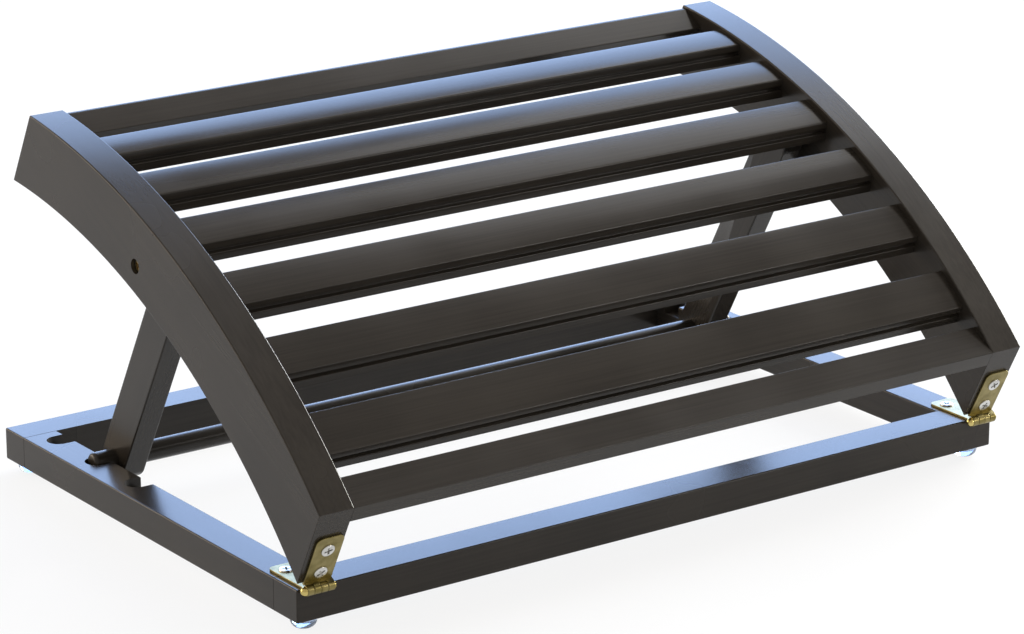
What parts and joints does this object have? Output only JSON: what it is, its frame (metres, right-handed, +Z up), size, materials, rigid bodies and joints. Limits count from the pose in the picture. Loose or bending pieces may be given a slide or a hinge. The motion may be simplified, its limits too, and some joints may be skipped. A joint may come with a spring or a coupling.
{
  "type": "adjustable footrest",
  "caption": "Desk footrest with an arched, slatted wooden tread hinged to a flat base frame and held tilted by a swinging support whose crossbar sits in notches.",
  "frame": {"origin": "on the floor, under the middle of the raised footrest's box", "axes": "+X to the right seen from the front, +Y to the back, +Z up; the hinged end of the tread is at the front, -Y"},
  "size_m": [0.46, 0.322, 0.2122],
  "materials": {
    "frame_wood": "near-black espresso lacquer, satin gloss, on bamboo",
    "slat_wood": "near-black espresso lacquer, satin gloss, on bamboo",
    "support_wood": "near-black espresso lacquer, satin gloss, on bamboo",
    "bare_dowel": "bare wood, hidden in the corner joints",
    "brass": "satin yellow plating",
    "zinc_steel": "bright zinc plating",
    "clear_rubber": "clear soft polyurethane",
    "nylon": "black nylon"
  },
  "bodies": {
    "base": {"base_front_rail": "frame_wood", "base_back_rail": "frame_wood", "base_left_rail": "frame_wood", "base_right_rail": "frame_wood", "corner_dowels": "bare_dowel", "front_left_foot": "clear_rubber", "front_right_foot": "clear_rubber", "back_left_foot": "clear_rubber", "back_right_foot": "clear_rubber", "left_hinge_base_leaf": "brass", "right_hinge_base_leaf": "brass", "left_hinge_pin": "brass", "right_hinge_pin": "brass", "base_leaf_screws": "zinc_steel"},
    "tread": {"left_arm": "frame_wood", "right_arm": "frame_wood", "slat_1": "slat_wood", "slat_2": "slat_wood", "slat_3": "slat_wood", "slat_4": "slat_wood", "slat_5": "slat_wood", "slat_6": "slat_wood", "slat_7": "slat_wood", "slat_8": "slat_wood", "left_hinge_arm_leaf": "brass", "right_hinge_arm_leaf": "brass", "arm_leaf_screws": "zinc_steel"},
    "support": {"left_leg": "support_wood", "right_leg": "support_wood", "crossbar": "support_wood", "left_pivot_screw": "brass", "right_pivot_screw": "brass", "left_pivot_spacer": "nylon", "right_pivot_spacer": "nylon"}
  },
  "joints": [
    {"name": "tread_hinge", "type": "hinge", "parent": "base", "child": "tread", "pos_m": [0, -0.14198, 0.0245], "axis": [1, 0, 0], "range_deg": [0, 62]},
    {"name": "support_pivot", "type": "hinge", "parent": "tread", "child": "support", "pos_m": [0, 0.01203, 0.15513], "axis": [1, 0, 0], "range_deg": [-46.5, 0]}
  ],
  "couplings": [
    {"joint": "support_pivot", "follows": "tread_hinge", "ratio": -0.75}
  ]
}
